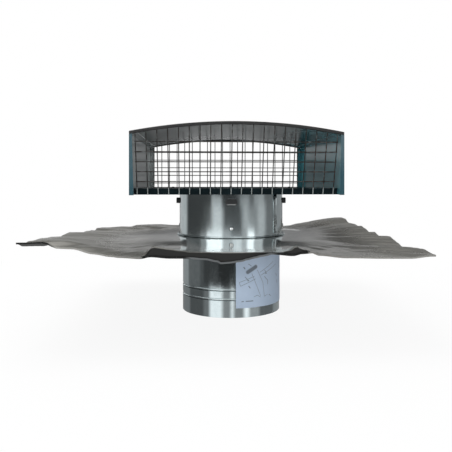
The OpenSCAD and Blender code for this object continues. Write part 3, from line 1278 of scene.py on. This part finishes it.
    def height(self, x: float, y: float) -> float:
        """Gives the height of the sheet's top face.

        Args:
            x: place across the hood.
            y: place along the hood.

        Returns:
            The height.
        """
        t = math.radians(-self.turn)
        u = x * math.cos(t) - y * math.sin(t) - self.shift
        v = x * math.sin(t) + y * math.cos(t)
        half_w, half_l = self.width / 2, self.length / 2
        level = self.level(x, y) + self.creases(x, y)
        sides = (
            (half_l - v, self.rear, x * half_l / max(half_l - 90, v)),
            (u + half_w, self.left, y * half_w / max(half_w - 90, -u)),
            (half_w - u, self.right, y * half_w / max(half_w - 90, u)),
            (v + half_l, self.front, x * half_l / max(half_l - 90, -v)),
        )
        for away, line, place in sides:
            reach = self.front_reach if line is self.front else self.pleat_reach
            share = math.exp(-((max(0.0, away) / reach) ** 2))
            if share > 0.001:
                level += share * (along(line, place) - level)
        level -= self.curl(x, v + half_l)
        return self.folded(x, v + half_l, level)

    def curl(self, x: float, away: float) -> float:
        """Gives the depth of the hollow behind the curled left end of the front edge.

        Args:
            x: place across the hood.
            away: distance back from the front edge.

        Returns:
            The depth.
        """
        return 4.8 * math.exp(-(((away - 24) / 13) ** 2)) * soft_step((-212 - x) / 20)

    def folded(self, x: float, away: float, level: float) -> float:
        """Turns the front edge down from a straight fold line.

        Args:
            x: place across the hood.
            away: distance back from the front edge.
            level: the height without the fold.

        Returns:
            The height with it.
        """
        inside = soft_step((x + 114) / 6) * soft_step((94 - x) / 14)
        if inside == 0.0:
            return level
        ridge = along(self.fold_line, x)
        behind = away - (self.length / 2 + self.fold_y)
        if behind >= 0:
            share = math.exp(-((behind / 34) ** 2))
            return level + inside * share * (ridge - level)
        flap = along(self.front, x)
        down = soft_step(-behind / self.fold_drop)
        return level + inside * (ridge + (flap - ridge) * down - level)

    def build(self, finish: bpy.types.Material) -> None:
        """Builds and dresses the sheet.

        Args:
            finish: its finish.
        """
        step = self.hole / 20
        rings = [(self.hole + step * j, 0.0) for j in range(self.rings + 1)]
        piece = turned("flashing_sheet", rings, self.around)
        for vertex in piece.data.vertices:
            ring = round((math.hypot(*vertex.co[:2]) / MM - self.hole) / step)
            a = math.degrees(math.atan2(vertex.co.y, vertex.co.x)) % 360
            x, y = self.plan(ring, round(a / 360 * self.around) % self.around)
            vertex.co = Vector((x, y, self.height(x, y))) * MM
        if sum(face.normal.z for face in piece.data.polygons) < 0:
            with editing(piece):
                bpy.ops.mesh.select_all(action="SELECT")
                bpy.ops.mesh.flip_normals()
        apply_modifier(piece, "SOLIDIFY", thickness=self.wall * MM, offset=-1)
        shade_smooth(piece, 50)
        piece.data.materials.append(finish)
        mount_piece(piece, "flashing_sheet", "flashing")


@dataclass
class InstructionSheet:
    """The printed paper wrapped around the front right of the pipe."""

    radius: float = 75.35
    low_z: float = 14.0
    height: float = 90.0
    start: float = -88.0
    arc: float = 92.0
    wall: float = 0.3
    columns: int = 48
    rows: int = 24
    strokes: tuple[Stroke, ...] = (
        Stroke((17.5, 51.5), (30, 58.5), 5.6),
        Stroke((23.8, 49), (33.5, 27)),
        Stroke((33.5, 27), (38.6, 15.5)),
        Stroke((33, 53.5), (43, 34.5)),
        Stroke((43, 34.5), (46, 14)),
        Stroke((4.9, 37.1), (27.9, 44.8)),
        Stroke((6.6, 31.6), (29.9, 41)),
        Stroke((4.9, 37.1), (6.6, 31.6)),
        Stroke((37, 49.8), (66.8, 63)),
        Stroke((39, 45.6), (75.1, 58.3)),
        Stroke((11.5, 58.5), (13.2, 56.4), 1.4),
        Stroke((18.5, 63), (23, 60), 0.8),
        Stroke((13.5, 44.5), (19.4, 38.6), 0.8),
        Stroke((19.4, 38.6), (16.4, 39.2), 0.8),
        Stroke((46.5, 52), (50.5, 47), 0.8),
        Stroke((50.5, 47), (47.4, 47.6), 0.8),
        Stroke((46, 43), (53, 36.5), 0.8),
        Stroke((53, 36.5), (53, 31), 0.8),
        Stroke((19, 31), (21, 28.4), 1.2),
        Stroke((27.4, 15.4), (33, 17)),
        Stroke((33, 17), (38.6, 13.7)),
        Stroke((46, 14), (52, 16)),
        Stroke((76, 44), (79, 40), 1.0),
        Stroke((79, 34), (79, 30), 1.0),
        Stroke((56, 15.5), (60, 13), 0.8),
        Stroke((8.5, 9.3), (11, 9.4), 1.3),
        Stroke((14.8, 9.5), (25.5, 9.5), 1.3),
    )

    @property
    def width(self) -> float:
        """Length of the paper around the pipe."""
        return math.radians(self.arc) * self.radius

    def build(self) -> None:
        """Builds and dresses the paper."""
        bpy.ops.mesh.primitive_grid_add(
            x_subdivisions=self.columns, y_subdivisions=self.rows, size=1
        )
        piece = named("instruction_paper")
        for vertex in piece.data.vertices:
            across, up = vertex.co.x + 0.5, vertex.co.y + 0.5
            a = math.radians(self.start + self.arc * across)
            loose = 0.1 * math.sin(across * 9 + up * 4) * math.sin(up * 7)
            r = self.radius + 0.1 + loose
            z = self.low_z + self.height * up
            vertex.co = Vector((r * math.cos(a), r * math.sin(a), z)) * MM
        apply_modifier(piece, "SOLIDIFY", thickness=self.wall * MM, offset=0)
        shade_smooth(piece, 50)
        paper = PrintedPaper("printed_paper", (self.width, self.height), self.strokes)
        piece.data.materials.append(paper.material())
        mount_piece(piece, "paper", "instruction_sheet")


@dataclass
class Hood:
    """The painted sheet metal of the hood, with its edges softened."""

    edge: float = 0.35
    painted: tuple[tuple[str, str], ...] = (
        ("side_left", "side_paint"),
        ("side_right", "side_paint"),
        ("roof", "roof_paint"),
        ("floor_pan", "floor_paint"),
        ("front_trim", "trim_paint"),
        ("rear_trim", "trim_paint"),
    )

    def build(self, finishes: dict[str, bpy.types.Material]) -> None:
        """Builds and dresses the hood's sheets.

        Args:
            finishes: the material of each slot.
        """
        for node, slot in self.painted:
            piece = softened_copy(node, self.edge)
            shade_smooth(piece, 40)
            apply_modifier(piece, "WEIGHTED_NORMAL", keep_sharp=True)
            piece.data.materials.clear()
            piece.data.materials.append(finishes[slot])
            mount_piece(piece, slot, node)


@dataclass
class SmallFittings:
    """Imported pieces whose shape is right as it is: wires, rivets, lugs, ring and seal."""

    slots: tuple[tuple[str, str], ...] = (
        ("front_mesh", "front_wire"),
        ("rear_mesh", "rear_wire"),
        ("locking_lugs", "lug_plastic"),
        ("collar_rivets", "rivet_steel"),
        ("floor_rivets", "black_paint"),
        ("side_rivets", "side_paint"),
        ("neck_ring", "neck_galvanised"),
        ("seal_ring", "seal_rubber"),
    )

    def dress(self, finishes: dict[str, bpy.types.Material]) -> None:
        """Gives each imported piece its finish.

        Args:
            finishes: the material of each slot.
        """
        for node, slot in self.slots:
            mesh = frame["nodes"][node].data
            mesh.materials.clear()
            mesh.materials.append(finishes[slot])
            LOG.info("%s dressed with %s", node, slot)


# Studio


class Shade(Enum):
    """Brightness of a studio card, as the metal mirrors it."""

    BLACK = 0.035
    INK = 0.065
    DARK = 0.11
    DIM = 0.17
    GREY = 0.23
    SOFT = 0.34
    MILD = 0.45
    PALE = 0.6
    LIGHT = 0.82
    BRIGHT = 1.3
    GLARE = 2.0


@dataclass(frozen=True)
class Card:
    """A studio card of the ring around the object, from one bearing to another.

    Bearings are in degrees from the camera's side, positive to the right.
    """

    start: float
    end: float
    shade: Shade


@dataclass(frozen=True)
class Tier:
    """A row of cards between two heights that melt softly into each other."""

    low: float
    high: float
    soft: float
    cards: tuple[Card, ...]

    def level(self, bearing: float) -> float:
        """Gives the brightness at a bearing.

        Args:
            bearing: degrees from the camera's side.

        Returns:
            The brightness.
        """
        total = self.cards[0].shade.value
        for before, after in zip(self.cards, self.cards[1:]):
            step = soft_step((bearing - after.start) / self.soft + 0.5)
            total += (after.shade.value - before.shade.value) * step
        return total


@dataclass
class Studio:
    """The floor, the cards that the metal mirrors, the lamps, the world and the camera."""

    picture: int = 452
    focal: float = 572.18
    middle: Point = (235.74, 182.55)
    eye: tuple[float, float, float] = (-51.35, -894.61, 194.6)
    yaw: float = 3.75
    ring: float = 2400.0
    tiers: tuple[Tier, ...] = (
        Tier(
            190,
            300,
            6,
            (
                Card(-118, -70, Shade.DIM),
                Card(-70, -53, Shade.MILD),
                Card(-53, -19, Shade.BRIGHT),
                Card(-19, 1, Shade.PALE),
                Card(1, 23, Shade.DARK),
                Card(23, 36, Shade.MILD),
                Card(36, 51, Shade.GLARE),
                Card(51, 74, Shade.PALE),
                Card(74, 118, Shade.DIM),
            ),
        ),
        Tier(
            300,
            2200,
            6,
            (
                Card(-118, -70, Shade.DIM),
                Card(-70, -55, Shade.MILD),
                Card(-55, -19, Shade.GLARE),
                Card(-19, 3, Shade.LIGHT),
                Card(3, 23, Shade.BRIGHT),
                Card(23, 36, Shade.LIGHT),
                Card(36, 51, Shade.GLARE),
                Card(51, 74, Shade.LIGHT),
                Card(74, 118, Shade.DIM),
            ),
        ),
        Tier(
            -45,
            190,
            14,
            (
                Card(-158, -112, Shade.PALE),
                Card(-112, -60, Shade.INK),
                Card(-60, -41, Shade.DARK),
                Card(-41, -18, Shade.LIGHT),
                Card(-18, 24, Shade.DARK),
                Card(24, 38, Shade.PALE),
                Card(38, 59, Shade.SOFT),
                Card(59, 79, Shade.PALE),
                Card(79, 115, Shade.GREY),
                Card(115, 158, Shade.SOFT),
            ),
        ),
        Tier(
            -150,
            -45,
            7,
            (
                Card(-158, -112, Shade.GREY),
                Card(-112, -42, Shade.INK),
                Card(-42, -20, Shade.PALE),
                Card(-20, 18, Shade.INK),
                Card(18, 39, Shade.MILD),
                Card(39, 51, Shade.DIM),
                Card(51, 75, Shade.MILD),
                Card(75, 158, Shade.DIM),
            ),
        ),
        Tier(
            190,
            330,
            6,
            (
                Card(118, 160, Shade.PALE),
                Card(160, 184, Shade.GREY),
                Card(184, 206, Shade.DIM),
                Card(206, 242, Shade.LIGHT),
            ),
        ),
        Tier(
            330,
            620,
            8,
            (
                Card(118, 160, Shade.PALE),
                Card(160, 168, Shade.MILD),
                Card(168, 185, Shade.GREY),
                Card(185, 194, Shade.SOFT),
                Card(194, 242, Shade.LIGHT),
            ),
        ),
        Tier(620, 2200, 8, (Card(118, 242, Shade.BLACK),)),
        Tier(-150, 80, 8, (Card(158, 202, Shade.INK),)),
        Tier(80, 150, 5, (Card(158, 186, Shade.LIGHT), Card(186, 202, Shade.DIM))),
        Tier(150, 190, 8, (Card(158, 202, Shade.DIM),)),
        Tier(
            -385,
            -150,
            9,
            (
                Card(-180, -118, Shade.SOFT),
                Card(-118, -76, Shade.DIM),
                Card(-76, -66, Shade.DARK),
                Card(-66, -30, Shade.INK),
                Card(-30, 10, Shade.BLACK),
                Card(10, 180, Shade.DIM),
            ),
        ),
        Tier(
            -1600,
            -385,
            11,
            (
                Card(-180, -112, Shade.GREY),
                Card(-112, -66, Shade.DARK),
                Card(-66, -50, Shade.GREY),
                Card(-50, -20, Shade.BRIGHT),
                Card(-20, -1, Shade.SOFT),
                Card(-1, 6, Shade.BRIGHT),
                Card(6, 30, Shade.SOFT),
                Card(30, 42, Shade.BRIGHT),
                Card(42, 68, Shade.MILD),
                Card(68, 115, Shade.DIM),
                Card(115, 180, Shade.SOFT),
            ),
        ),
    )

    def glow(self) -> bpy.types.Material:
        """Makes the cards' plain material, as bright as the mesh says.

        Returns:
            The material.
        """
        material = bpy.data.materials.new("studio_card")
        material.use_nodes = True
        tree = material.node_tree
        tree.nodes.clear()
        level = tree.nodes.new("ShaderNodeAttribute")
        level.attribute_name = "glow"
        light = tree.nodes.new("ShaderNodeEmission")
        light.inputs["Color"].default_value = (0.98, 0.99, 1, 1)
        out = tree.nodes.new("ShaderNodeOutputMaterial")
        tree.links.new(level.outputs["Fac"], light.inputs["Strength"])
        tree.links.new(light.outputs[0], out.inputs["Surface"])
        return material

    def build_cards(self) -> None:
        """Stands the tiers of cards, for reflections only."""
        glow = self.glow()
        for k, tier in enumerate(self.tiers):
            piece = self.build_tier(f"studio_cards_{k}", tier)
            piece.data.materials.append(glow)
            piece.visible_camera = False
            piece.visible_diffuse = False
            piece.visible_shadow = False
            piece.visible_volume_scatter = False

    def build_tier(self, name: str, tier: Tier) -> bpy.types.Object:
        """Bends one row of cards around the object.

        Args:
            name: its name.
            tier: the row.

        Returns:
            The row's piece.
        """
        start, end = tier.cards[0].start, tier.cards[-1].end
        bpy.ops.mesh.primitive_grid_add(
            x_subdivisions=max(8, round(end - start)), y_subdivisions=1, size=1
        )
        piece = named(name)
        glow = piece.data.attributes.new("glow", "FLOAT", "POINT")
        for vertex in piece.data.vertices:
            bearing = start + (end - start) * (vertex.co.x + 0.5)
            glow.data[vertex.index].value = tier.level(bearing)
            a = math.radians(bearing) + self.turn
            z = tier.low + (vertex.co.y + 0.5) * (tier.high - tier.low)
            spot = Vector((math.sin(a) * self.ring, -math.cos(a) * self.ring, z))
            vertex.co = spot * MM
        return piece

    @property
    def turn(self) -> float:
        """Turn of the cards' ring towards the camera, in radians."""
        return math.atan2(self.eye[0], -self.eye[1])

    def build_floor(self) -> None:
        """Lays the pale floor, whose far part is as bright as the background."""
        bpy.ops.mesh.primitive_circle_add(
            vertices=96, radius=12, fill_type="NGON", location=(0, 0, -0.0004)
        )
        floor = named("studio_floor")
        settle(floor)
        w = Wiring("pale_floor")
        flat = w.add("VectorMath", Vector=w.place((1, 1, 0)))
        flat.operation = "LENGTH"
        far = w.spread(flat.outputs["Value"], 0.3, 0.75, 0.9, 1.0)
        seen = w.add("LightPath")
        shown = w.sum(
            "MAXIMUM",
            seen.outputs["Is Camera Ray"],
            w.sum(
                "MAXIMUM",
                seen.outputs["Is Glossy Ray"],
                seen.outputs["Is Transmission Ray"],
            ),
        )
        w.set(Base_Color=(0.88, 0.88, 0.88), Roughness=0.9)
        white = w.add("Emission", Color=(1.0, 1.0, 1.0)).outputs[0]
        mix = w.material.node_tree.nodes.new("ShaderNodeMixShader")
        out = w.material.node_tree.nodes["Material Output"]
        w.feed(mix.inputs[0], w.sum("MULTIPLY", shown, far))
        w.feed(mix.inputs[1], w.shader.outputs[0])
        w.feed(mix.inputs[2], white)
        w.feed(out.inputs["Surface"], mix.outputs[0])
        floor.data.materials.append(w.material)
        floor.visible_glossy = False

    def build_world(self) -> None:
        """Makes a plain world: white behind the object, soft light on it."""
        world = bpy.data.worlds.new("studio")
        bpy.context.scene.world = world
        world.use_nodes = True
        tree = world.node_tree
        tree.nodes.clear()
        path = tree.nodes.new("ShaderNodeLightPath")
        white = tree.nodes.new("ShaderNodeBackground")
        soft = tree.nodes.new("ShaderNodeBackground")
        white.inputs["Color"].default_value = (1, 1, 1, 1)
        soft.inputs["Color"].default_value = (0.97, 0.985, 1, 1)
        soft.inputs["Strength"].default_value = 0.68
        shown = path.outputs["Is Camera Ray"]
        for other in ("Is Glossy Ray", "Is Transmission Ray"):
            more = tree.nodes.new("ShaderNodeMath")
            more.operation = "MAXIMUM"
            tree.links.new(shown, more.inputs[0])
            tree.links.new(path.outputs[other], more.inputs[1])
            shown = more.outputs[0]
        mix = tree.nodes.new("ShaderNodeMixShader")
        out = tree.nodes.new("ShaderNodeOutputWorld")
        tree.links.new(shown, mix.inputs[0])
        tree.links.new(soft.outputs[0], mix.inputs[1])
        tree.links.new(white.outputs[0], mix.inputs[2])
        tree.links.new(mix.outputs[0], out.inputs["Surface"])

    def build_lamp(
        self,
        name: str,
        place: tuple[float, float, float],
        size: float,
        power: float,
        mirrored: bool = True,
    ) -> None:
        """Hangs a square soft lamp that looks at the object.

        Args:
            name: the lamp's name.
            place: its place.
            size: its side.
            power: its power in watts.
            mirrored: whether the metal mirrors it.
        """
        bpy.ops.object.light_add(type="AREA", location=Vector(place) * MM)
        lamp = bpy.context.object
        lamp.name = name
        lamp.data.size = size * MM
        lamp.data.energy = power
        lamp.visible_glossy = mirrored
        aim = Vector((0, 0, 150)) - Vector(place)
        lamp.rotation_euler = aim.to_track_quat("-Z", "Y").to_euler()

    def build_camera(self) -> None:
        """Sets the camera where the photograph was taken."""
        bpy.ops.object.camera_add(location=Vector(self.eye) * MM)
        camera = bpy.context.object
        camera.name = "photo_camera"
        camera.rotation_euler = (math.radians(90), 0, math.radians(-self.yaw))
        camera.data.sensor_width = 36
        camera.data.lens = self.focal / self.picture * 36
        camera.data.shift_x = 0.5 - self.middle[0] / self.picture
        camera.data.shift_y = self.middle[1] / self.picture - 0.5
        camera.data.clip_start = 0.01
        bpy.context.scene.camera = camera

    def build(self) -> None:
        """Builds the whole studio."""
        self.build_floor()
        self.build_cards()
        self.build_world()
        self.build_lamp("top_softbox", (-500, 250, 1600), 1300, 14, mirrored=False)
        self.build_lamp("front_softbox", (-300, -2200, 430), 900, 24, mirrored=False)
        self.build_lamp("rear_softbox", (900, 1300, 90), 700, 9, mirrored=False)
        self.build_camera()
        bpy.context.scene.view_settings.view_transform = "Standard"


def finishes() -> dict[str, bpy.types.Material]:
    """Builds the finish of every slot but the paper's.

    Returns:
        The materials by slot.
    """
    petrol = PetrolPaint("petrol_paint").material()
    wire = DullWire("dull_wire").material()
    return {
        "pipe_galvanised": GalvanisedSteel("pipe_zinc", gloss=0.04, haze=0.08).material(),
        "collar_galvanised": GalvanisedSteel("collar_zinc", gloss=0.1, haze=0.05).material(),
        "neck_galvanised": GalvanisedSteel("neck_zinc", gloss=0.3).material(),
        "rivet_steel": GalvanisedSteel(
            "rivet_zinc", (0.75, 0.78, 0.78), (0.6, 0.62, 0.62), wave=0.1
        ).material(),
        # the lugs' lower edge gets a painted highlight
        "lug_plastic": PlainCoat(
            "lug_plastic", (0.02, 0.022, 0.023), (0.05, 0.053, 0.054), 0.28, painted_highlight_below=163.3
        ).material(),
        "black_paint": PlainCoat(
            "black_paint", (0.008, 0.008, 0.009), (0.02, 0.02, 0.02), 0.35
        ).material(),
        "seal_rubber": PlainCoat(
            "seal_rubber", (0.02, 0.02, 0.02), (0.05, 0.05, 0.05), 0.6
        ).material(),
        "trim_paint": PlainCoat(
            "trim_coat", (0.008, 0.008, 0.008), (0.02, 0.019, 0.018), 0.5
        ).material(),
        "side_paint": petrol,
        "roof_paint": petrol,
        "floor_paint": PetrolPaint(
            "floor_petrol",
            colour=(0.0015, 0.005, 0.0065),
            dust=(0.005, 0.013, 0.016),
            backing=(0.01, 0.028, 0.036),
            backing_dust=(0.02, 0.04, 0.048),
            shaded=(0.01, 0.028, 0.036),
            gloss=0.25,
            coat=0.0,
            shine=0.1,
            bare=0.0,
        ).material(),
        "front_wire": wire,
        "rear_wire": wire,
        "flashing_sheet": SoftSheet("flashing_grey").material(),
    }


def main() -> None:
    """Builds every piece in order, then the studio."""
    logging.basicConfig(level=logging.INFO)
    made = finishes()
    DuctPipe().build(made["pipe_galvanised"])
    Collar().build(made["collar_galvanised"])
    FlashingSheet().build(made["flashing_sheet"])
    InstructionSheet().build()
    Hood().build(made)
    SmallFittings().dress(made)
    Studio().build()


if __name__ == "__main__":
    main()
